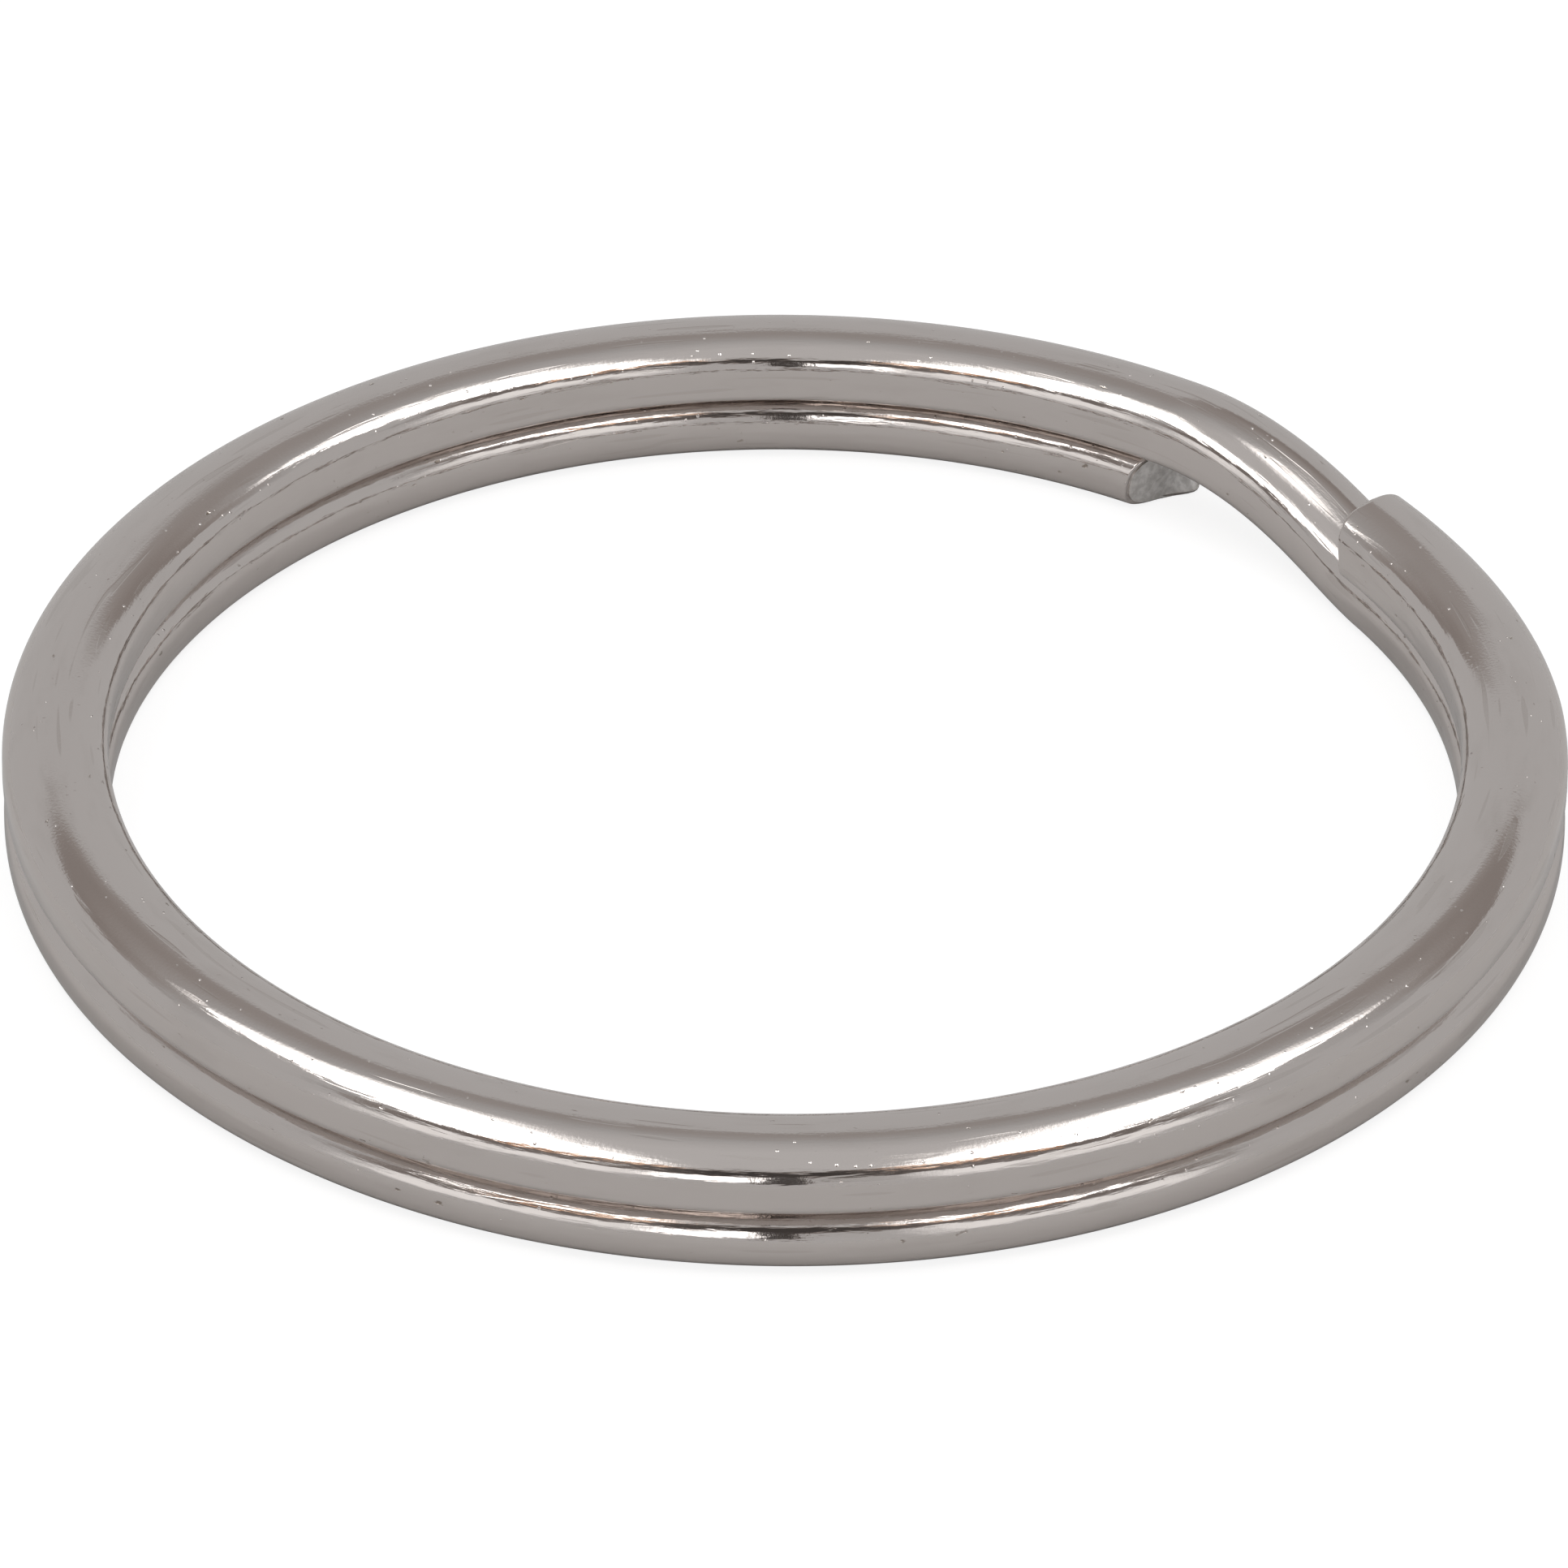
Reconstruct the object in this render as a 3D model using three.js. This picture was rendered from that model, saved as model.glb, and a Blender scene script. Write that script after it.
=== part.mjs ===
// A split key ring: one length of flattened spring-steel wire, wound almost twice round so that
// its two turns lie flat on each other. Millimetres, +Z up. The origin is on the ring's own axis,
// in the plane the ring rests on.
//
// The wire is one piece on the bench. It flexes when a key is threaded on, so it is cut here into
// stretches: each free end is a chain of short ones that bend away from the other turn, and the
// stiff rest is two long arcs and the bend that crosses from the upper turn to the lower one.

import * as THREE from 'three';

// Driving sizes.
const OUTER_DIAMETER = 30;
const WIRE_WIDTH = 2.0;
const WIRE_HEIGHT = 1.28;
const TURN_CLEARANCE = 0.04;

// Azimuths in degrees, counter-clockwise from +X. The wire runs clockwise from its upper end.
const UPPER_END_AZIMUTH = 33;
const LOWER_END_AZIMUTH = 56.5;
const BEND_TOP_AZIMUTH = 55.5;
const BEND_FOOT_AZIMUTH = 30;

// The upper end sits a little inside the other turns and a little high, where it meets the bend.
const UPPER_END_INSET = 0.38;
const UPPER_END_LIFT = 0.15;
const BEND_BULGE = 0.08;

// Each free half of the ring bends as a chain of equal stretches, parted by hairline slits.
const STRETCHES_PER_END = 6;
const STRETCH_ANGLE = 30;
const SLIT = 0.05;

// Roundness of the flattened wire, and how finely it is faceted.
const SECTION_EXPONENT = 2.9;
const SECTION_POINTS = 20;
const DEGREES_PER_STEP = 5;

const CENTRE_RADIUS = (OUTER_DIAMETER - WIRE_WIDTH) / 2;
const LOWER_LEVEL = WIRE_HEIGHT / 2;
const TURN_PITCH = WIRE_HEIGHT + TURN_CLEARANCE;
const SLIT_ANGLE = THREE.MathUtils.radToDeg(SLIT / CENTRE_RADIUS);

// Places along the wire, as degrees of travel from the upper end.
const FLEX_ANGLE = STRETCHES_PER_END * STRETCH_ANGLE;
const BEND_START = UPPER_END_AZIMUTH + 360 - BEND_TOP_AZIMUTH;
const BEND_STOP = UPPER_END_AZIMUTH + 360 - BEND_FOOT_AZIMUTH;
const WIRE_STOP = UPPER_END_AZIMUTH + 720 - LOWER_END_AZIMUTH;

/** Radius of the wire's centre line after a given travel. */
function centreRadius(travel) {
  const towardsEnd = Math.max(0, 1 - travel / STRETCH_ANGLE);
  const alongBend = THREE.MathUtils.clamp((travel - BEND_START) / (BEND_STOP - BEND_START), 0, 1);
  const bulge = BEND_BULGE * Math.sin(Math.PI * alongBend) ** 2;
  return CENTRE_RADIUS - UPPER_END_INSET * towardsEnd ** 1.5 + bulge;
}

/** Height of the wire's centre line after a given travel. */
function centreHeight(travel) {
  const towardsEnd = Math.max(0, 1 - travel / STRETCH_ANGLE);
  const descent = THREE.MathUtils.smoothstep(travel, BEND_START, BEND_STOP);
  return LOWER_LEVEL + TURN_PITCH * (1 - descent) + UPPER_END_LIFT * towardsEnd ** 2;
}

/** Angle on the plan, in radians, after a given travel. */
function planAngle(travel) {
  return THREE.MathUtils.degToRad(UPPER_END_AZIMUTH - travel);
}

/** One stretch of the wire's centre line, with its section kept upright along the whole turn. */
class WireStretch extends THREE.Curve {
  constructor(start, stop) {
    super();
    this.start = start;
    this.stop = stop;
  }

  getPoint(t, target = new THREE.Vector3()) {
    const travel = THREE.MathUtils.lerp(this.start, this.stop, t);
    const radius = centreRadius(travel);
    const angle = planAngle(travel);
    return target.set(radius * Math.cos(angle), radius * Math.sin(angle), centreHeight(travel));
  }

  computeFrenetFrames(segments) {
    const frames = { tangents: [], normals: [], binormals: [] };
    for (let i = 0; i <= segments; i += 1) {
      const along = this.getUtoTmapping(i / segments);
      const angle = planAngle(THREE.MathUtils.lerp(this.start, this.stop, along));
      const outward = new THREE.Vector3(Math.cos(angle), Math.sin(angle), 0);
      const tangent = this.getTangent(along);
      tangent.addScaledVector(outward, -tangent.dot(outward)).normalize();
      frames.tangents.push(tangent);
      frames.normals.push(outward);
      frames.binormals.push(new THREE.Vector3().crossVectors(tangent, outward));
    }
    return frames;
  }
}

/** The flattened wire's section: x is across the ring, y is up, flat on top and underneath. */
function wireSection() {
  const halfStep = Math.PI / SECTION_POINTS;
  const power = 2 / SECTION_EXPONENT;
  const squared = (value) => Math.sign(value) * (Math.abs(value) / Math.cos(halfStep)) ** power;
  const outline = [];
  for (let i = 0; i < SECTION_POINTS; i += 1) {
    const angle = (2 * i + 1) * halfStep;
    const x = (WIRE_WIDTH / 2) * squared(Math.cos(angle));
    const y = (WIRE_HEIGHT / 2) * squared(Math.sin(angle));
    outline.push(new THREE.Vector2(x, y));
  }
  return new THREE.Shape(outline);
}

/** Bright nickel plating on spring steel. */
function nickelPlate() {
  return new THREE.MeshStandardMaterial({ color: 0xb8b3b0, roughness: 0.2, metalness: 1 });
}

/** A named solid stretch of the wire between two travels, drawn in by half a slit at each cut. */
function stretchMesh(name, start, stop) {
  const from = start > 0 ? start + SLIT_ANGLE / 2 : start;
  const to = stop < WIRE_STOP ? stop - SLIT_ANGLE / 2 : stop;
  const geometry = new THREE.ExtrudeGeometry(wireSection(), {
    steps: Math.ceil((stop - start) / DEGREES_PER_STEP),
    extrudePath: new WireStretch(from, to),
    bevelEnabled: false,
  });
  const mesh = new THREE.Mesh(geometry, nickelPlate());
  mesh.name = name;
  return mesh;
}

/** The chain of short stretches at one free end, numbered from the end inwards. */
function freeEnd(side, travelAt) {
  const stretches = [];
  for (let i = 0; i < STRETCHES_PER_END; i += 1) {
    const name = i === 0 ? `${side}_end` : `${side}_flex_${i}`;
    const edges = [travelAt(i * STRETCH_ANGLE), travelAt((i + 1) * STRETCH_ANGLE)];
    stretches.push(stretchMesh(name, Math.min(...edges), Math.max(...edges)));
  }
  return stretches;
}

const keyRing = new THREE.Group();
keyRing.name = 'split_key_ring';
keyRing.add(...freeEnd('upper', (angle) => angle));
keyRing.add(stretchMesh('upper_turn', FLEX_ANGLE, BEND_START));
keyRing.add(stretchMesh('crossover_bend', BEND_START, BEND_STOP));
keyRing.add(stretchMesh('lower_turn', BEND_STOP, WIRE_STOP - FLEX_ANGLE));
keyRing.add(...freeEnd('lower', (angle) => WIRE_STOP - angle));

export default keyRing;
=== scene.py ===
"""Split key ring of flattened nickel-plated wire, wound almost twice round, on a pale table."""

import logging
import math
from dataclasses import dataclass, field
from enum import Enum

import bmesh
import bpy
import numpy as np
from mathutils import Matrix, Vector, noise


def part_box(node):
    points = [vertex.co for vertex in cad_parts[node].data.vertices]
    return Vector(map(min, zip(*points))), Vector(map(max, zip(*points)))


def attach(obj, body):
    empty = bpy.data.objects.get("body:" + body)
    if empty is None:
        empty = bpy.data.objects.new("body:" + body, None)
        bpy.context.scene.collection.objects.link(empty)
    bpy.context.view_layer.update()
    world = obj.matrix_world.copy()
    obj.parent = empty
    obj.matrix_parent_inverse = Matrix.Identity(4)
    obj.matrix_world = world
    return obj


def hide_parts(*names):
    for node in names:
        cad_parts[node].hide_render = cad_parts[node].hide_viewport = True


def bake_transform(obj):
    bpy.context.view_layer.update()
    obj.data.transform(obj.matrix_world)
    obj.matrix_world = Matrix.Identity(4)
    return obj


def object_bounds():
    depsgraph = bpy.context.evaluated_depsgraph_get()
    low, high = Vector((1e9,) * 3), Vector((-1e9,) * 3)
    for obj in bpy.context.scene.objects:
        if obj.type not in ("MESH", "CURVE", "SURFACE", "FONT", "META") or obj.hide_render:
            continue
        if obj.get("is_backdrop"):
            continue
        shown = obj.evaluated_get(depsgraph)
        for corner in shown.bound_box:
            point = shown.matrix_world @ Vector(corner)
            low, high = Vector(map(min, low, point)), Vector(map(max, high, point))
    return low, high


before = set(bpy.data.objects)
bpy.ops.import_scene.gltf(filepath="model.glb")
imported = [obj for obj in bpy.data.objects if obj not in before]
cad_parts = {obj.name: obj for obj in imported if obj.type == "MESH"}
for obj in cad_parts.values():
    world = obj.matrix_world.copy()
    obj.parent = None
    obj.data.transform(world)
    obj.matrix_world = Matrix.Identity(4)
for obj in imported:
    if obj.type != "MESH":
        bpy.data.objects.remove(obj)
CAD_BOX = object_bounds()

LOG = logging.getLogger("split_key_ring")
MM = 0.001


class FreeEnd(Enum):
    """The wire's two free ends."""

    UPPER = "upper"
    LOWER = "lower"


class NodeBoard:
    """A node tree that is filled one node at a time."""

    def __init__(self, tree: bpy.types.NodeTree) -> None:
        """Clears the tree and keeps it.

        Args:
            tree: The material's or world's node tree.
        """
        self.tree = tree
        self.tree.nodes.clear()

    def add(self, kind: str, settings: dict | None = None, **sockets: object) -> bpy.types.Node:
        """Adds a node, sets its properties, and fills or links its inputs.

        Args:
            kind: The node's type name.
            settings: Properties of the node itself.
            **sockets: Input names, with underscores for spaces, or in0, in1 for inputs by number.

        Returns:
            The new node.
        """
        node = self.tree.nodes.new(kind)
        for name, value in (settings or {}).items():
            setattr(node, name, value)
        for name, value in sockets.items():
            by_number = name[:2] == "in" and name[2:].isdigit()
            socket = node.inputs[int(name[2:])] if by_number else node.inputs[name.replace("_", " ")]
            if isinstance(value, bpy.types.NodeSocket):
                self.tree.links.new(value, socket)
            else:
                socket.default_value = value
        return node

    def math(self, operation: str, first: object, second: object = 0.0) -> bpy.types.NodeSocket:
        """Adds a Math node.

        Args:
            operation: The operation's name.
            first: The first number or socket.
            second: The second number or socket.

        Returns:
            The result's socket.
        """
        node = self.add("ShaderNodeMath", {"operation": operation}, in0=first, in1=second)
        return node.outputs[0]

    def ramp(self, value: object, low: float, high: float) -> bpy.types.NodeSocket:
        """Rises smoothly from 0 at low to 1 at high, or falls where high is below low.

        Args:
            value: The number or socket that is read.
            low: Where the result is 0.
            high: Where the result is 1.

        Returns:
            The result's socket.
        """
        settings = {"interpolation_type": "SMOOTHSTEP"}
        rising = low < high
        edges = {"From_Min": min(low, high), "From_Max": max(low, high)}
        ends = {"To_Min": 0.0 if rising else 1.0, "To_Max": 1.0 if rising else 0.0}
        return self.add("ShaderNodeMapRange", settings, Value=value, **edges, **ends).outputs[0]

    def window(self, value: object, low: tuple, high: tuple) -> bpy.types.NodeSocket:
        """A soft-edged window on a number.

        Args:
            value: The number or socket that is read.
            low: Where the window starts to open and where it is open.
            high: Where it starts to close and where it is closed.

        Returns:
            The result's socket.
        """
        return self.math("MULTIPLY", self.ramp(value, *low), self.ramp(value, high[1], high[0]))

    def blend(self, share: object, first: object, second: object) -> bpy.types.NodeSocket:
        """Mixes two numbers.

        Args:
            share: How much of the second is taken.
            first: The number or socket at a share of 0.
            second: The number or socket at a share of 1.

        Returns:
            The mixed number's socket.
        """
        node = self.add("ShaderNodeMix", {"data_type": "FLOAT"}, in0=share, in2=first, in3=second)
        return node.outputs[0]

    def tint(self, share: object, first: object, second: object) -> bpy.types.NodeSocket:
        """Mixes two colours.

        Args:
            share: How much of the second is taken.
            first: The colour or socket at a share of 0.
            second: The colour or socket at a share of 1.

        Returns:
            The mixed colour's socket.
        """
        node = self.add("ShaderNodeMix", {"data_type": "RGBA"}, in0=share, in6=first, in7=second)
        return node.outputs[2]

    def grain(self, place: object, scale: tuple, detail: float) -> bpy.types.NodeSocket:
        """Adds fractal noise, squeezed by its own scale along each direction.

        Args:
            place: The socket of the place that is read.
            scale: Cells per unit along each direction.
            detail: How many finer layers are added.

        Returns:
            The noise's socket, from 0 to 1.
        """
        settings = {"operation": "MULTIPLY"}
        squeezed = self.add("ShaderNodeVectorMath", settings, in0=place, in1=scale).outputs[0]
        return self.add("ShaderNodeTexNoise", Vector=squeezed, Scale=1.0, Detail=detail).outputs[0]

    def relief(self, height: object, depth: float, below: object = None) -> bpy.types.NodeSocket:
        """Adds a Bump node.

        Args:
            height: The socket of the height, from 0 to 1.
            depth: The depth that a height of 1 stands for, in metres.
            below: The normal that the relief is laid on, if any.

        Returns:
            The bumped normal's socket.
        """
        under = {} if below is None else {"Normal": below}
        return self.add("ShaderNodeBump", Height=height, Distance=depth, Strength=1.0, **under).outputs[0]


@dataclass(frozen=True)
class NickelPlate:
    """Bright nickel over drawn steel: fine lines along the wire, specks, scores and stained pits.

    Patterns read the wire's own unrolled place in millimetres: x along it, y across, z up.
    Depths are in metres.
    """

    bright: tuple = (0.66, 0.612, 0.585, 1.0)
    dull: tuple = (0.58, 0.535, 0.505, 1.0)
    stained: tuple = (0.34, 0.29, 0.25, 1.0)
    smooth: float = 0.075
    worn: float = 0.2
    wave_depth: float = 8e-6
    line_depth: float = 0.7e-6
    stroke_depth: float = 13e-6
    peel_depth: float = 0.8e-6
    speck_depth: float = 9e-6
    score_depth: float = 1.6e-6
    pit_depth: float = 9e-6
    speck_spacing: float = 3.6

    def material(self) -> bpy.types.Material:
        """Builds the plated finish.

        Returns:
            The finished material.
        """
        material = bpy.data.materials.new("nickel_plate")
        material.use_nodes = True
        board = NodeBoard(material.node_tree)
        place = board.add("ShaderNodeAttribute", {"attribute_name": "unrolled"}).outputs["Vector"]
        parts = board.add("ShaderNodeSeparateXYZ", Vector=place).outputs
        shoulder = board.ramp(board.math("ABSOLUTE", parts[1]), 0.45, 0.95)
        lines = board.grain(place, (0.35, 15.0, 15.0), 3.0)
        strokes = board.grain(place, (0.8, 7.0, 7.0), 3.0)
        strokes = board.math("MULTIPLY", strokes, board.blend(shoulder, 0.12, 1.0))
        waves = board.grain(place, (0.5, 0.7, 0.7), 0.0)
        patches = board.grain(place, (0.7, 2.5, 2.5), 4.0)
        scores = board.ramp(board.grain(place, (0.45, 7.0, 7.0), 0.0), 0.70, 0.76)
        pits = board.ramp(board.grain(place, (3.5, 6.5, 6.5), 2.0), 0.69, 0.77)
        pits = board.math("MULTIPLY", pits, board.ramp(patches, 0.52, 0.62))
        cells = board.add("ShaderNodeTexVoronoi", Vector=place, Scale=self.speck_spacing)
        dusty = board.ramp(board.grain(place, (0.45, 1.6, 1.6), 2.0), 0.44, 0.60)
        specks = board.math("MULTIPLY", board.ramp(cells.outputs["Distance"], 0.13, 0.03), dusty)
        peel = board.grain(place, (16.0, 16.0, 16.0), 2.0)
        normal = board.relief(waves, self.wave_depth)
        normal = board.relief(lines, self.line_depth, normal)
        normal = board.relief(strokes, self.stroke_depth, normal)
        normal = board.relief(peel, self.peel_depth, normal)
        normal = board.relief(specks, self.speck_depth, normal)
        normal = board.relief(board.math("SUBTRACT", 1.0, scores), self.score_depth, normal)
        normal = board.relief(board.math("SUBTRACT", 1.0, pits), self.pit_depth, normal)
        wear = board.math("MULTIPLY", board.ramp(patches, 0.45, 0.75), 0.35)
        wear = board.math("MAXIMUM", wear, board.math("MULTIPLY", scores, 0.6))
        wear = board.math("MAXIMUM", wear, pits)
        plating = board.tint(wear, self.bright, self.dull)
        shader = board.add(
            "ShaderNodeBsdfPrincipled",
            Base_Color=board.tint(pits, plating, self.stained),
            Metallic=1.0,
            Roughness=board.blend(wear, self.smooth, self.worn),
            Normal=normal,
        )
        board.add("ShaderNodeOutputMaterial", Surface=shader.outputs[0])
        return material


@dataclass(frozen=True)
class ShearedSteel:
    """The torn grey face that the cutter leaves at each end of the wire."""

    bare: tuple = (0.88, 0.86, 0.84, 1.0)
    torn: tuple = (0.68, 0.66, 0.64, 1.0)
    shine: float = 0.5
    crumb_depth: float = 9e-6
    streak_depth: float = 10e-6

    def material(self) -> bpy.types.Material:
        """Builds the sheared finish.

        Returns:
            The finished material.
        """
        material = bpy.data.materials.new("sheared_face")
        material.use_nodes = True
        board = NodeBoard(material.node_tree)
        place = board.add("ShaderNodeAttribute", {"attribute_name": "unrolled"}).outputs["Vector"]
        crumbs = board.grain(place, (7.0, 7.0, 7.0), 5.0)
        streaks = board.grain(place, (3.0, 9.0, 2.5), 3.0)
        normal = board.relief(crumbs, self.crumb_depth)
        normal = board.relief(streaks, self.streak_depth, normal)
        shader = board.add(
            "ShaderNodeBsdfPrincipled",
            Base_Color=board.tint(board.ramp(crumbs, 0.35, 0.65), self.torn, self.bare),
            Metallic=self.shine,
            Roughness=board.blend(streaks, 0.34, 0.62),
            Normal=normal,
        )
        board.add("ShaderNodeOutputMaterial", Surface=shader.outputs[0])
        return material


@dataclass
class WirePath:
    """The wire's centre line, measured in degrees of travel from its upper end.

    The wire runs clockwise from its upper end, seen from above: once round on the upper level,
    down the crossover bend, and on round the lower level to its lower end.
    """

    upper_end: float = 33.0
    lower_end: float = 56.5
    bend_top: float = 55.5
    bend_foot: float = 30.0
    wire_width: float = 2.04 * MM
    end_inset: float = 0.38 * MM
    end_lift: float = 0.15 * MM
    bend_bulge: float = 0.08 * MM
    dish: float = 1.1
    height_share: float = 0.97
    rise_share: float = 0.947
    stretch: float = 30.0
    stretches: int = 6
    radius: float = field(init=False)
    wire_height: float = field(init=False)
    lower_level: float = field(init=False)
    upper_level: float = field(init=False)

    def __post_init__(self) -> None:
        """Reads the ring's size and its two levels from the frame."""
        low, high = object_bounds()
        lower_floor, lower_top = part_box("lower_turn")
        upper_floor, upper_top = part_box("upper_turn")
        self.radius = (high.y - low.y - self.wire_width) / 2
        self.wire_height = (lower_top.z - lower_floor.z) * self.height_share
        self.lower_level = lower_floor.z + self.wire_height / 2
        self.upper_level = self.lower_level + (upper_floor.z - lower_floor.z) * self.rise_share

    @property
    def bend_start(self) -> float:
        """Travel at which the crossover bend leaves the upper level."""
        return self.upper_end + 360 - self.bend_top

    @property
    def bend_stop(self) -> float:
        """Travel at which the crossover bend reaches the lower level."""
        return self.upper_end + 360 - self.bend_foot

    @property
    def stop(self) -> float:
        """Travel at the lower end."""
        return self.upper_end + 720 - self.lower_end

    def azimuth(self, travel: float) -> float:
        """Angle on the plan, in radians, after a given travel."""
        return math.radians(self.upper_end - travel)

    def length(self, travel: float) -> float:
        """Length of wire from the upper end, in metres, after a given travel."""
        return math.radians(travel) * self.radius

    def outward(self, travel: float) -> Vector:
        """Level direction away from the ring's axis after a given travel."""
        angle = self.azimuth(travel)
        return Vector((math.cos(angle), math.sin(angle), 0.0))

    def point(self, travel: float) -> Vector:
        """Finds a place on the wire's centre line.

        Args:
            travel: Degrees of travel from the upper end.

        Returns:
            The place, in metres.
        """
        towards_end = max(0.0, 1 - travel / self.stretch)
        along = (travel - self.bend_start) / (self.bend_stop - self.bend_start)
        along = min(1.0, max(0.0, along))
        radius = self.radius - self.end_inset * towards_end**1.5
        radius += self.bend_bulge * math.sin(math.pi * along) ** 2
        descent = along * along * (3 - 2 * along)
        height = self.upper_level + (self.lower_level - self.upper_level) * descent
        height += self.end_lift * towards_end**2
        return self.outward(travel) * radius + Vector((0.0, 0.0, height))

    def forward(self, travel: float) -> Vector:
        """Finds which way the wire runs.

        Args:
            travel: Degrees of travel from the upper end.

        Returns:
            The direction away from the upper end, square to the section's width.
        """
        step = 0.05
        run = self.point(travel + step) - self.point(travel - step)
        outward = self.outward(travel)
        return (run - outward * run.dot(outward)).normalized()

    def axes(self, travel: float) -> tuple[Vector, Vector]:
        """Finds how the section stands; it is dished, so that its outer edge is a little higher.

        Args:
            travel: Degrees of travel from the upper end.

        Returns:
            The directions across and up.
        """
        outward = self.outward(travel)
        upright = self.forward(travel).cross(outward)
        tip = math.radians(self.dish)
        leaning = outward * math.cos(tip) + upright * math.sin(tip)
        return leaning, upright * math.cos(tip) - outward * math.sin(tip)

    def place(self, travel: float, across: float, up: float) -> Vector:
        """Finds a place on or in the wire.

        Args:
            travel: Degrees of travel from the upper end.
            across: Distance outwards from the centre line, in metres.
            up: Distance above the centre line, square to the wire, in metres.

        Returns:
            The place, in metres.
        """
        outward, upright = self.axes(travel)
        return self.point(travel) + outward * across + upright * up


@dataclass
class WireSection:
    """The flattened wire's section: rounded top shoulders, and a squarer underside."""

    width: float
    height: float
    bend_start: float
    bend_stop: float
    plain: float = 3.0
    outer_shoulder: float = 2.12
    inner_shoulder: float = 2.9
    touching: float = 6.0
    underside: float = 3.6
    points: int = 72

    def on_outline(self, angle: float) -> tuple[float, float]:
        """Finds a place on the plain outline, before its shoulders are dressed.

        Args:
            angle: Angle round the section, in radians.

        Returns:
            Distance across and distance up from the section's middle, in metres.
        """
        x, y = self.unit_point(math.cos(angle), math.sin(angle), self.plain)
        return x * self.width / 2, y * self.height / 2

    def unit_point(self, cosine: float, sine: float, squareness: float) -> tuple[float, float]:
        """Finds a place on a rounded square of half side 1.

        Args:
            cosine: The cosine of the angle round it.
            sine: The sine of the angle round it.
            squareness: 2 for a circle, and more for squarer.

        Returns:
            The place across and up.
        """
        power = 2 / squareness
        x = math.copysign(abs(cosine) ** power, cosine)
        y = math.copysign(abs(sine) ** power, sine)
        return x, y

    def squareness(self, travel: float, across: float, up: float) -> float:
        """Finds how square a shoulder is.

        Args:
            travel: Degrees of travel from the upper end.
            across: Distance across, whose sign picks the shoulder.
            up: Distance up, whose sign picks the shoulder.

        Returns:
            The shoulder's squareness.
        """
        lowered = (travel - self.bend_start) / (self.bend_stop - self.bend_start)
        lowered = min(1.0, max(0.0, lowered))
        if up > 0:
            return self.outer_shoulder if across > 0 else self.inner_shoulder
        return self.touching + (self.underside - self.touching) * lowered

    def fullness(self, across: float, up: float) -> float:
        """Tells how far out in the plain section a place is.

        Args:
            across: Distance across from the section's middle, in metres.
            up: Distance up from the section's middle, in metres.

        Returns:
            0 in the middle, and 1 on the outline.
        """
        x = abs(across) / (self.width / 2)
        y = abs(up) / (self.height / 2)
        return (x**self.plain + y**self.plain) ** (1 / self.plain)

    def dress(self, travel: float, across: float, up: float) -> tuple[float, float]:
        """Moves a place from the plain section to the real one.

        Args:
            travel: Degrees of travel from the upper end.
            across: Distance across from the section's middle, in metres.
            up: Distance up from the section's middle, in metres.

        Returns:
            The new distances across and up, in metres.
        """
        fullness = self.fullness(across, up)
        if fullness < 1e-6:
            return across, up
        x = across / (self.width / 2) / fullness
        y = up / (self.height / 2) / fullness
        cosine = math.copysign(min(1.0, abs(x)) ** (self.plain / 2), x)
        sine = math.copysign(min(1.0, abs(y)) ** (self.plain / 2), y)
        x, y = self.unit_point(cosine, sine, self.squareness(travel, across, up))
        return x * fullness * self.width / 2, y * fullness * self.height / 2

    def facing(self, travel: float, across: float, up: float) -> tuple[float, float]:
        """Finds which way the real outline faces.

        Args:
            travel: Degrees of travel from the upper end.
            across: Distance across from the section's middle, in metres.
            up: Distance up from the section's middle, in metres.

        Returns:
            The outward direction's parts across and up.
        """
        x = across / (self.width / 2)
        y = up / (self.height / 2)
        steep = self.squareness(travel, across, up) - 1
        slope_x = math.copysign(abs(x) ** steep, x) / self.width
        slope_y = math.copysign(abs(y) ** steep, y) / self.height
        size = math.hypot(slope_x, slope_y)
        return slope_x / size, slope_y / size


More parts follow.
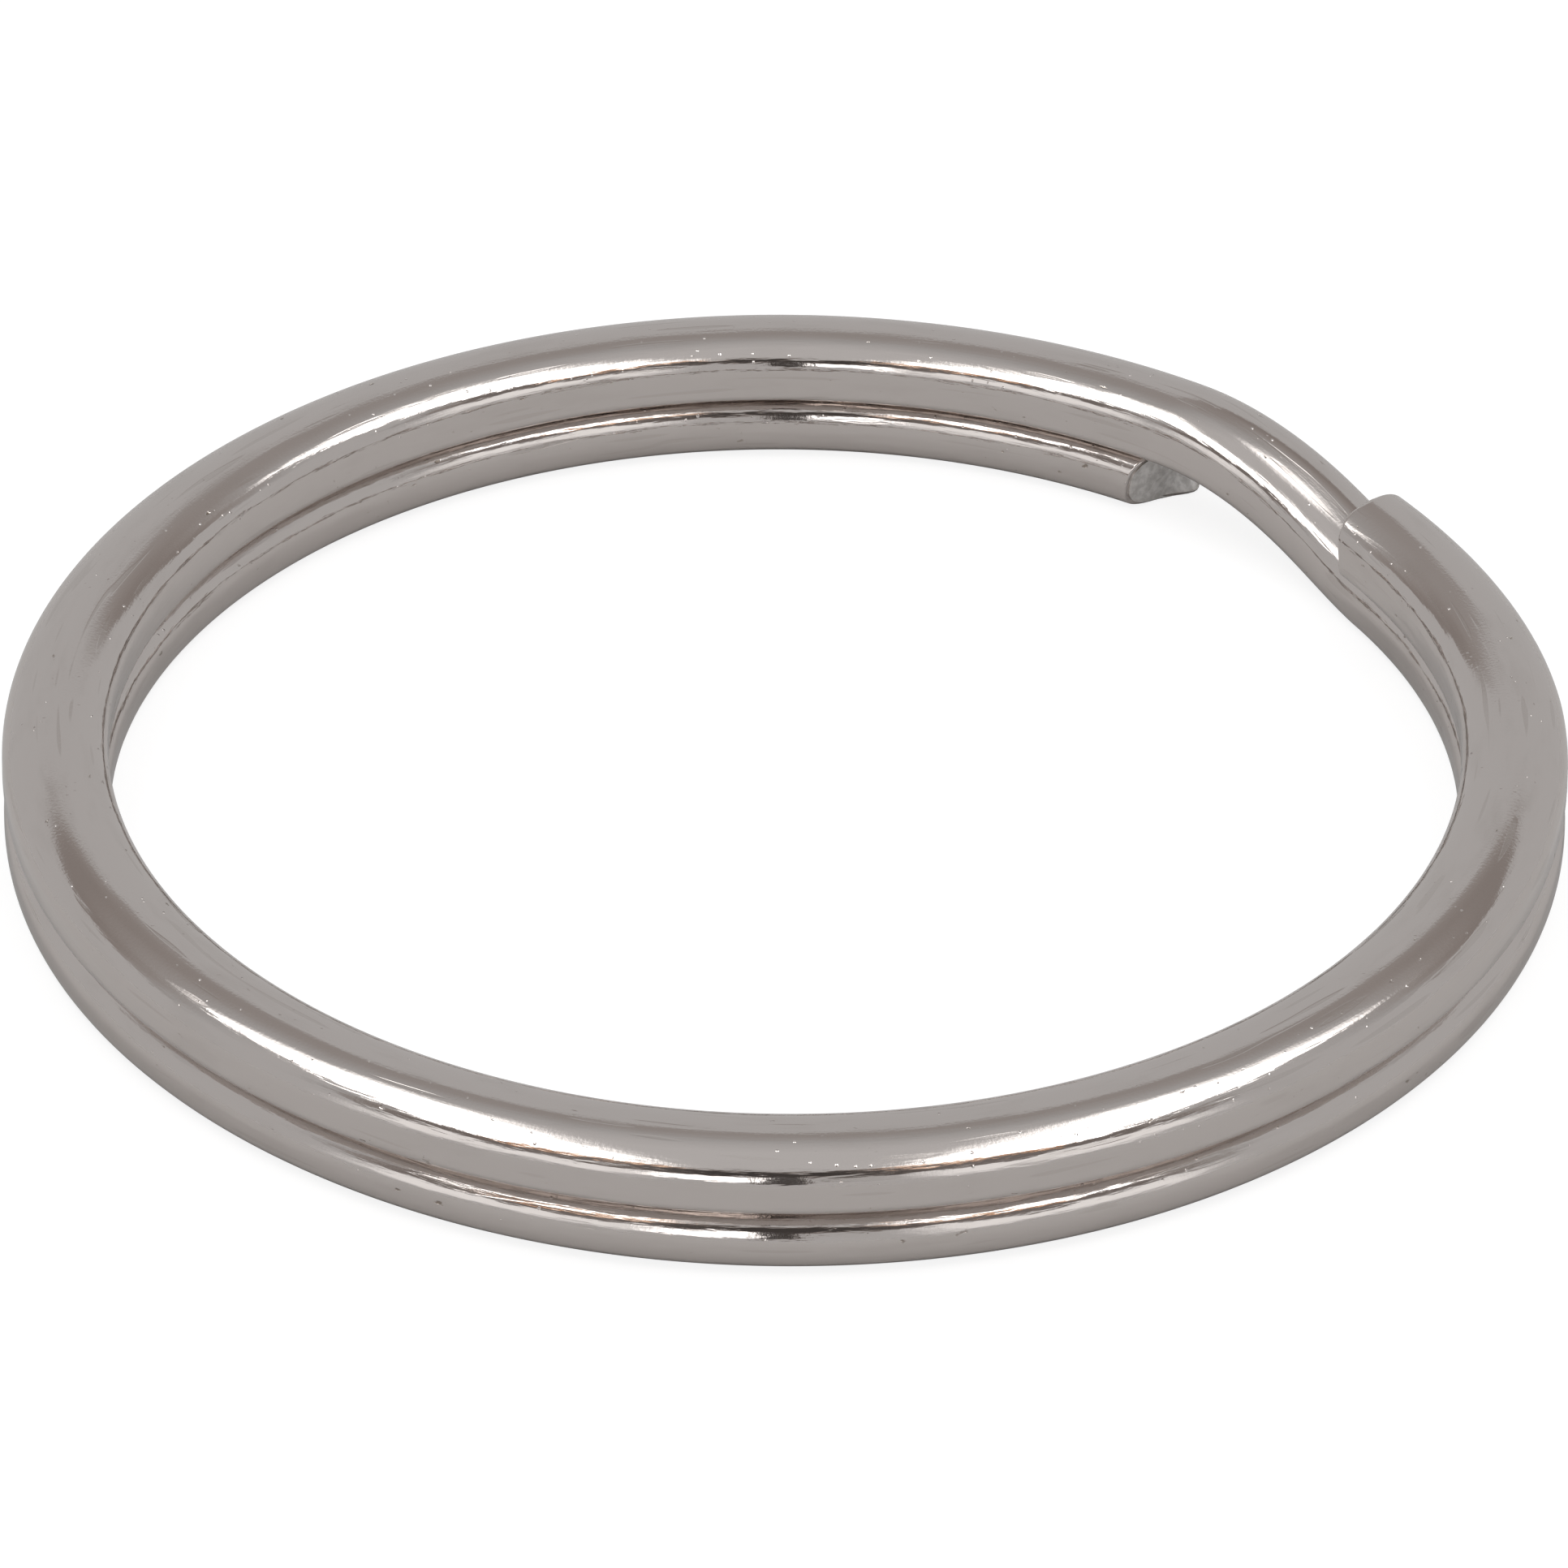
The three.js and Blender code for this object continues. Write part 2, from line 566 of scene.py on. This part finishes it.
@dataclass
class ShearedEnd:
    """How the cutter left one end: an oblique, torn face with a rolled edge and a small burr.

    Places on the face are shares of half its width and half its height.
    """

    side: FreeEnd
    slant: float
    burr: float
    roll: float = 0.10 * MM
    drag: float = 0.34 * MM
    reach: float = 1.2 * MM
    roughness: float = 0.05 * MM
    tear_size: float = 0.30 * MM
    torn_share: float = 0.97
    burr_place: float = 0.45
    burr_breadth: float = 0.42

    def shape(
        self, section: WireSection, fullness: float, inset: float, across: float, up: float
    ) -> tuple[float, float, float]:
        """Moves a place near the end from the plain square cut to the real one.

        Args:
            section: The wire's section.
            fullness: 0 in the middle of the section, and 1 on its outline.
            inset: Distance back from the square cut, in metres.
            across: Distance across from the section's middle, in metres.
            up: Distance up from the section's middle, in metres.

        Returns:
            How far it moves out past the cut, and its new distances across and up, in metres.
        """
        nearness = max(0.0, 1 - inset / self.reach)
        x = across / (section.width / 2)
        y = up / (section.height / 2)
        out = self.slant * x
        out -= self.drag * max(0.0, -x - 0.15 - 0.2 * y) ** 1.5
        lip = max(0.0, -y) ** 3 * math.exp(-(((x - self.burr_place) / self.burr_breadth) ** 2))
        out += self.burr * lip
        up -= 0.15 * self.burr * lip * nearness**3
        if inset < self.roll and fullness > 0.999:
            share = 1 - inset / self.roll
            shrink = self.roll * (1 - math.sqrt(max(0.0, 1 - share * share)))
            across -= shrink * x
            up -= shrink * y
        if inset < 1e-7 and fullness < self.torn_share:
            spot = Vector((across, up, 0.0)) / self.tear_size
            seed = Vector((0.0, 0.0, 3.0 if self.side is FreeEnd.UPPER else 7.0))
            torn = noise.fractal(spot + seed, 1.1, 2.0, 4)
            out += self.roughness * (torn - 0.2) * min(1.0, (self.torn_share - fullness) * 6)
        return out * nearness, across, up


class SplitRing:
    """The one wire, modelled as closed lengths that meet in the middle of each stretch."""

    def __init__(self) -> None:
        """Sets out the wire's path, section, ends and finishes."""
        self.path = WirePath()
        self.section = WireSection(
            self.path.wire_width, self.path.wire_height, self.path.bend_start, self.path.bend_stop
        )
        self.ends = {
            FreeEnd.UPPER: ShearedEnd(FreeEnd.UPPER, slant=0.22 * MM, burr=0.10 * MM),
            FreeEnd.LOWER: ShearedEnd(FreeEnd.LOWER, slant=0.16 * MM, burr=0.30 * MM),
        }
        self.step = 0.5
        self.fine_step = 0.08
        self.fine_angle = 1.2
        self.cap_rings = 12
        self.cap_middle = 0.3
        self.bending_share = 0.46
        self.smooth_angle = 40
        self.nickel = NickelPlate().material()
        self.sheared = ShearedSteel().material()

    def build(self) -> None:
        """Builds every length of the wire."""
        for side in FreeEnd:
            self.build_end(side)
            for number in range(1, self.path.stretches + 1):
                self.build_flexing_length(side, number)
        self.build_stiff_length()

    def travel(self, side: FreeEnd, angle: float) -> float:
        """Travel at a given angle back from a free end."""
        return angle if side is FreeEnd.UPPER else self.path.stop - angle

    def node(self, side: FreeEnd, number: int) -> str:
        """Name of the numbered stretch back from a free end, which is also its body's name."""
        if number == 0:
            return f"{side.value}_end"
        return f"{side.value}_flex_{number}" if number < self.path.stretches else "ring"

    def build_end(self, side: FreeEnd) -> None:
        """Builds the last half stretch at one free end, with its sheared face.

        Args:
            side: Which free end.
        """
        seam = self.travel(side, self.path.stretch / 2)
        tip = self.travel(side, 0.0)
        wire = self.turn_wire(f"{side.value}_end_wire", seam, tip, self.ends[side])
        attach(wire, self.node(side, 0))
        self.declare(wire, self.node(side, 0))

    def build_flexing_length(self, side: FreeEnd, number: int) -> None:
        """Builds one length that spans the joint between two stretches.

        Args:
            side: Which free end.
            number: The joint's place, counted from the end.
        """
        middle = self.path.stretch * number
        near = self.travel(side, middle - self.path.stretch / 2)
        far = self.travel(side, middle + self.path.stretch / 2)
        wire = self.turn_wire(f"{side.value}_bending_wire_{number}", near, far)
        span = self.path.length(self.path.stretch * self.bending_share)
        along = self.path.forward(self.travel(side, middle)) * span
        along = -along if side is FreeEnd.UPPER else along
        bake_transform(wire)
        if number < self.path.stretches:
            self.declare(wire, self.node(side, number))
        else:
            self.declare(wire)

    def build_stiff_length(self) -> None:
        """Builds the rest of the wire, with the bend that crosses from one turn to the other."""
        back = self.path.stretch * (self.path.stretches + 0.5)
        start = self.travel(FreeEnd.UPPER, back)
        stop = self.travel(FreeEnd.LOWER, back)
        wire = self.turn_wire("crossover_wire", start, stop)
        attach(wire, "ring")
        self.declare(wire, "upper_turn", "crossover_bend", "lower_turn")

    def declare(self, wire: bpy.types.Object, *nodes: str) -> None:
        """Hides the CAD nodes that a length stands for, if any, and logs the length's face count.

        Args:
            wire: The finished length.
            *nodes: The CAD nodes' names.
        """
        if nodes:
            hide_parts(*nodes)
        LOG.info("%s: %d faces", wire.name, len(wire.data.polygons))

    def turn_wire(
        self, name: str, start: float, stop: float, end: ShearedEnd | None = None
    ) -> bpy.types.Object:
        """Turns a flattened disc round the ring's axis, then lays it on the wire's path.

        Args:
            name: The piece's name.
            start: Travel where the length starts.
            stop: Travel where it stops.
            end: The sheared end at stop, if it has one.

        Returns:
            The finished length.
        """
        bpy.ops.object.select_all(action="DESELECT")
        bpy.ops.mesh.primitive_circle_add(
            vertices=self.section.points,
            radius=self.section.width / 2,
            fill_type="NGON",
            location=self.path.outward(start) * self.path.radius,
            rotation=(math.pi / 2, 0.0, self.path.azimuth(start)),
        )
        wire = bpy.context.object
        wire.name = wire.data.name = name
        bpy.ops.object.transform_apply(location=True, rotation=True, scale=True)
        bpy.ops.object.mode_set(mode="EDIT")
        self.flatten_disc(wire, start)
        fine = self.fine_angle if end else 0.0
        clockwise = stop > start
        self.spin(abs(stop - start) - fine, self.step, clockwise)
        if end:
            self.spin(fine, self.fine_step, clockwise)
            self.ring_the_cap(stop)
        bpy.ops.mesh.select_all(action="SELECT")
        bpy.ops.mesh.remove_doubles(threshold=1e-7)
        bpy.ops.mesh.normals_make_consistent(inside=False)
        bpy.ops.object.mode_set(mode="OBJECT")
        self.lay_on_path(wire, start, stop, end)
        self.finish_surface(wire, end)
        self.smooth(wire, start, stop, end)
        return wire

    def flatten_disc(self, wire: bpy.types.Object, start: float) -> None:
        """Flattens the round disc to the wire's section.

        Args:
            wire: The disc, in edit mode.
            start: Travel where the disc stands.
        """
        outward = self.path.outward(start)
        mesh = bmesh.from_edit_mesh(wire.data)
        for vertex in mesh.verts:
            angle = math.atan2(vertex.co.z, vertex.co.dot(outward) - self.path.radius)
            across, up = self.section.on_outline(angle)
            vertex.co = outward * (self.path.radius + across) + Vector((0.0, 0.0, up))
        for face in mesh.faces:
            face.select_set(True)
        bmesh.update_edit_mesh(wire.data)

    def spin(self, angle: float, step: float, clockwise: bool) -> None:
        """Spins the selected face round the ring's axis.

        Args:
            angle: How far it turns, in degrees.
            step: Degrees in each step.
            clockwise: Which way it turns, seen from above.
        """
        bpy.ops.mesh.spin(
            steps=round(angle / step),
            angle=math.radians(angle),
            center=(0.0, 0.0, 0.0),
            axis=(0.0, 0.0, 1.0 if clockwise else -1.0),
        )

    def ring_the_cap(self, stop: float) -> None:
        """Divides the end face into rings, so that it can be torn.

        Args:
            stop: Travel where the end face stands.
        """
        middle = self.path.outward(stop) * self.path.radius
        for ring in range(self.cap_rings):
            left = self.cap_rings - ring
            shrink = (left - 1) / left if left > 1 else self.cap_middle
            bpy.ops.mesh.extrude_region_move()
            bpy.ops.transform.resize(value=(shrink,) * 3, center_override=middle)

    def lay_on_path(
        self, wire: bpy.types.Object, start: float, stop: float, end: ShearedEnd | None
    ) -> None:
        """Moves the turned length from a plain circle to the wire's own path.

        Args:
            wire: The turned length.
            start: Travel where it starts.
            stop: Travel where it stops.
            end: The sheared end at stop, if it has one.
        """
        way = 1.0 if stop > start else -1.0
        first = self.path.azimuth(start)
        unrolled = np.zeros((len(wire.data.vertices), 3), np.float32)
        depth = np.zeros(len(wire.data.vertices), np.float32)
        for vertex in wire.data.vertices:
            turned = math.degrees(first - math.atan2(vertex.co.y, vertex.co.x)) * way
            turned = (turned + 1.0) % 360 - 1.0
            travel = start + way * turned
            across = math.hypot(vertex.co.x, vertex.co.y) - self.path.radius
            up = vertex.co.z
            fullness = self.section.fullness(across, up)
            across, up = self.section.dress(travel, across, up)
            if end:
                inset = self.path.length(abs(stop - travel))
                out, across, up = end.shape(self.section, fullness, inset, across, up)
                travel += way * math.degrees(out / self.path.radius)
            depth[vertex.index] = fullness
            unrolled[vertex.index] = (self.path.length(travel) / MM, across / MM, up / MM)
            vertex.co = self.path.place(travel, across, up)
        place = wire.data.attributes.new("unrolled", "FLOAT_VECTOR", "POINT")
        place.data.foreach_set("vector", unrolled.ravel())
        inner = wire.data.attributes.new("fullness", "FLOAT", "POINT")
        inner.data.foreach_set("value", depth)

    def finish_surface(self, wire: bpy.types.Object, end: ShearedEnd | None) -> None:
        """Plates the wire, and leaves its sheared face bare.

        Args:
            wire: The length on its path.
            end: The sheared end, if it has one.
        """
        wire.data.materials.append(self.nickel)
        if not end:
            return
        wire.data.materials.append(self.sheared)
        depth = wire.data.attributes["fullness"].data
        for face in wire.data.polygons:
            inner = sum(depth[number].value < 0.99 for number in face.vertices)
            face.material_index = 1 if inner >= 2 else 0

    def smooth(
        self, wire: bpy.types.Object, start: float, stop: float, end: ShearedEnd | None
    ) -> None:
        """Smooths the wire, and makes the shine run on unbroken from length to length.

        Args:
            wire: The dressed length.
            start: Travel where it starts.
            stop: Travel where it stops.
            end: The sheared end at stop, if it has one.
        """
        bpy.ops.object.select_all(action="DESELECT")
        wire.select_set(True)
        bpy.context.view_layer.objects.active = wire
        bpy.ops.object.shade_smooth_by_angle(angle=math.radians(self.smooth_angle))
        mesh = wire.data
        normals = [tuple(corner.vector) for corner in mesh.corner_normals]
        seams = [start] if end else [start, stop]
        seam_places = [self.path.length(seam) / MM for seam in seams]
        place = mesh.attributes["unrolled"].data
        for face in mesh.polygons:
            if len(face.vertices) > 4:
                continue
            for corner in face.loop_indices:
                along, across, up = place[mesh.loops[corner].vertex_index].vector
                if min(abs(along - seam) for seam in seam_places) < 1e-3:
                    travel = math.degrees(along * MM / self.path.radius)
                    normals[corner] = tuple(self.true_normal(travel, across * MM, up * MM))
        mesh.normals_split_custom_set(normals)

    def true_normal(self, travel: float, across: float, up: float) -> Vector:
        """Finds the wire's exact facing at a place on its surface.

        Args:
            travel: Degrees of travel from the upper end.
            across: Distance across from the section's middle, in metres.
            up: Distance up from the section's middle, in metres.

        Returns:
            The outward normal.
        """
        step = 0.02
        ahead = self.path.place(travel + step, across, up)
        behind = self.path.place(travel - step, across, up)
        facing_out, facing_up = self.section.facing(travel, across, up)
        outward, upright = self.path.axes(travel)
        facing = outward * facing_out + upright * facing_up
        round_section = outward * -facing_up + upright * facing_out
        normal = (ahead - behind).cross(round_section).normalized()
        return normal if normal.dot(facing) > 0 else -normal


@dataclass(frozen=True)
class SoftPanel:
    """A soft-edged panel of the studio, placed by the directions in which it is seen.

    Climb is in degrees above the table, and turn in degrees round from straight behind the ring.
    The foot and the near edge open from their first number to their second, and the head and the
    far edge close in the same way.
    """

    foot: tuple
    head: tuple
    near: tuple = (-2.0, -1.0)
    far: tuple = (181.0, 182.0)

    def share(self, board: NodeBoard, climb: object, turn: object) -> bpy.types.NodeSocket:
        """Finds how much of the panel is seen in a direction.

        Args:
            board: The world's nodes.
            climb: The direction's climb.
            turn: The direction's turn.

        Returns:
            The share's socket, from 0 to 1.
        """
        high = board.window(climb, self.foot, self.head)
        wide = board.window(turn, self.near, self.far)
        return board.math("MULTIPLY", high, wide)


@dataclass
class LightTent:
    """The soft studio round the ring: grey paper, softboxes, a window, and the dark lens."""

    paper: float = 0.55
    ceiling: float = 0.62
    shade: float = 0.28
    shade_middle: float = 0.36
    overhead: float = 3.2
    bright_window: float = 2.2
    side: float = 1.1
    opening: float = 0.2
    lens: float = 0.06
    lens_height: float = 33.7
    fringe: tuple = (0.55, 0.28, 0.10, 1.0)
    brown: tuple = (1.08, 0.97, 0.92, 1.0)
    backdrop: tuple = (0.86, 0.86, 0.86, 1.0)
    gap: SoftPanel = SoftPanel((35.0, 35.7), (37.0, 60.0), far=(48.0, 85.0))
    side_opening: SoftPanel = SoftPanel((35.0, 42.0), (50.0, 62.0), near=(95.0, 120.0))
    side_softbox: SoftPanel = SoftPanel((2.0, 20.0), (33.0, 37.0), (112.0, 126.0), (155.0, 166.0))
    lens_hood: SoftPanel = SoftPanel((40.0, 45.0), (54.0, 64.0), near=(148.0, 172.0))
    left_window: SoftPanel = SoftPanel((15.0, 19.0), (35.0, 39.0), (158.0, 165.0), (175.8, 177.0))

    def build(self) -> None:
        """Sets the world's light."""
        world = bpy.data.worlds.new("light_tent")
        bpy.context.scene.world = world
        world.use_nodes = True
        board = NodeBoard(world.node_tree)
        way = board.add("ShaderNodeTexCoord").outputs["Generated"]
        parts = board.add("ShaderNodeSeparateXYZ", Vector=way).outputs
        degrees = 180 / math.pi
        turn = board.math("ARCTAN2", board.math("ABSOLUTE", parts[0]), parts[1])
        turn = board.math("MULTIPLY", turn, degrees)
        climb = board.math("MULTIPLY", board.math("ARCSINE", parts[2]), degrees)
        light = board.blend(board.ramp(climb, 55, 72), self.paper, self.ceiling)
        shade = board.blend(board.ramp(turn, 0.0, 20.0), self.shade_middle, self.shade)
        light = board.blend(self.gap.share(board, climb, turn), light, shade)
        light = board.blend(self.side_opening.share(board, climb, turn), light, self.opening)
        light = board.blend(self.side_softbox.share(board, climb, turn), light, self.side)
        light, edge = self.add_overhead_softboxes(board, light, parts)
        light = board.blend(self.lens_hood.share(board, climb, turn), light, self.lens)
        light = board.blend(self.lens_panel().share(board, climb, turn), light, self.lens)
        left = board.math("LESS_THAN", parts[0], 0.0)
        seen = board.math("MULTIPLY", self.left_window.share(board, climb, turn), left)
        light = board.blend(seen, light, self.bright_window)
        colour = self.colour(board, light, edge)
        seen = board.add("ShaderNodeLightPath").outputs["Is Camera Ray"]
        colour = board.tint(seen, colour, self.backdrop)
        back = board.add("ShaderNodeBackground", Color=colour, Strength=1.0)
        board.add("ShaderNodeOutputWorld", Surface=back.outputs[0])

    def lens_panel(self) -> SoftPanel:
        """The dark lens that the ring is seen through, with the stand under it."""
        low, top = self.lens_height - 22, self.lens_height + 14
        return SoftPanel((low - 4, low), (top, top + 3), near=(175.8, 177.8))

    def add_overhead_softboxes(
        self, board: NodeBoard, light: object, parts: bpy.types.NodeOutputs
    ) -> tuple[object, object]:
        """Adds the level softboxes that hang left and right over the ring.

        Args:
            board: The world's nodes.
            light: The light so far.
            parts: The parts of the direction that is looked in.

        Returns:
            The light with the softboxes, and the share of the warm fringe along their front edges.
        """
        height = board.math("MAXIMUM", parts[2], 0.02)
        aside = board.math("DIVIDE", board.math("ABSOLUTE", parts[0]), height)
        behind = board.math("DIVIDE", parts[1], height)
        long = board.window(behind, (-0.52, -0.42), (0.46, 0.66))
        wide = board.window(aside, (0.15, 0.28), (0.60, 0.64))
        light = board.blend(board.math("MULTIPLY", wide, long), light, self.overhead)
        edge = board.window(behind, (-0.66, -0.54), (-0.50, -0.42))
        wide = board.window(aside, (0.16, 0.24), (0.60, 0.66))
        return light, board.math("MULTIPLY", edge, wide)

    def colour(self, board: NodeBoard, light: object, edge: object) -> bpy.types.NodeSocket:
        """Turns the grey light into its colour, with browner shade and a warm fringe.

        Args:
            board: The world's nodes.
            light: The whole studio's light.
            edge: The share of the warm fringe.

        Returns:
            The colour's socket.
        """
        colour = board.add("ShaderNodeCombineColor", Red=light, Green=light, Blue=light).outputs[0]
        warm = board.tint(edge, (0.0, 0.0, 0.0, 1.0), self.fringe)
        settings = {"operation": "ADD"}
        colour = board.add("ShaderNodeVectorMath", settings, in0=colour, in1=warm).outputs[0]
        dark = board.ramp(light, 0.5, 0.25)
        brown = board.tint(dark, (1.0, 1.0, 1.0, 1.0), self.brown)
        settings = {"operation": "MULTIPLY"}
        return board.add("ShaderNodeVectorMath", settings, in0=colour, in1=brown).outputs[0]


@dataclass
class Studio:
    """The pale table, the light round it, and the camera."""

    table_size: float = 1.6
    looking_down: float = 33.69
    distance: float = 0.220
    lens: float = 262.9
    sensor: float = 36.0
    lean: float = 0.437
    shift: tuple = (-0.0006, -0.0151)
    table_in_reflections: tuple = (0.55, 0.55, 0.55, 1.0)
    table_in_view: tuple = (0.24, 0.24, 0.24, 1.0)
    glow_in_view: float = 0.84

    def build(self) -> None:
        """Sets out the whole studio."""
        self.lay_table()
        LightTent(lens_height=self.looking_down).build()
        self.set_camera()
        bpy.context.scene.view_settings.view_transform = "Standard"

    def lay_table(self) -> None:
        """Lays the pale table under the ring."""
        bpy.ops.object.select_all(action="DESELECT")
        bpy.ops.mesh.primitive_plane_add(size=self.table_size)
        table = bpy.context.object
        table.name = "pale_table"
        material = bpy.data.materials.new("pale_table")
        material.use_nodes = True
        board = NodeBoard(material.node_tree)
        seen = board.add("ShaderNodeLightPath").outputs["Is Camera Ray"]
        shader = board.add(
            "ShaderNodeBsdfPrincipled",
            Base_Color=board.tint(seen, self.table_in_reflections, self.table_in_view),
            Roughness=0.9,
            Specular_IOR_Level=0.0,
            Emission_Color=(1.0, 1.0, 1.0, 1.0),
            Emission_Strength=board.math("MULTIPLY", seen, self.glow_in_view),
        )
        board.add("ShaderNodeOutputMaterial", Surface=shader.outputs[0])
        table.data.materials.append(material)
        table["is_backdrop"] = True

    def set_camera(self) -> None:
        """Sets the camera in front of the ring, looking down on it."""
        low, high = CAD_BOX
        target = Vector((0.0, 0.0, (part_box("upper_turn")[1].z + low.z) / 2))
        angle = math.radians(self.looking_down)
        lean = math.radians(self.lean)
        forward = Vector((0.0, math.cos(angle), -math.sin(angle)))
        level = Vector((1.0, 0.0, 0.0))
        above = level.cross(forward)
        right = level * math.cos(lean) + above * math.sin(lean)
        up = above * math.cos(lean) - level * math.sin(lean)
        data = bpy.data.cameras.new("camera")
        data.lens = self.lens
        data.sensor_width = self.sensor
        data.shift_x, data.shift_y = self.shift
        data.clip_start, data.clip_end = 0.01, 10.0
        camera = bpy.data.objects.new("camera", data)
        turned = Matrix((right, up, -forward)).transposed().to_4x4()
        camera.matrix_world = Matrix.Translation(target - forward * self.distance) @ turned
        bpy.context.scene.collection.objects.link(camera)
        bpy.context.scene.camera = camera


def main() -> None:
    """Builds the studio and the ring."""
    logging.basicConfig(level=logging.INFO, format="%(name)s %(message)s")
    Studio().build()
    SplitRing().build()


if __name__ == "__main__":
    main()
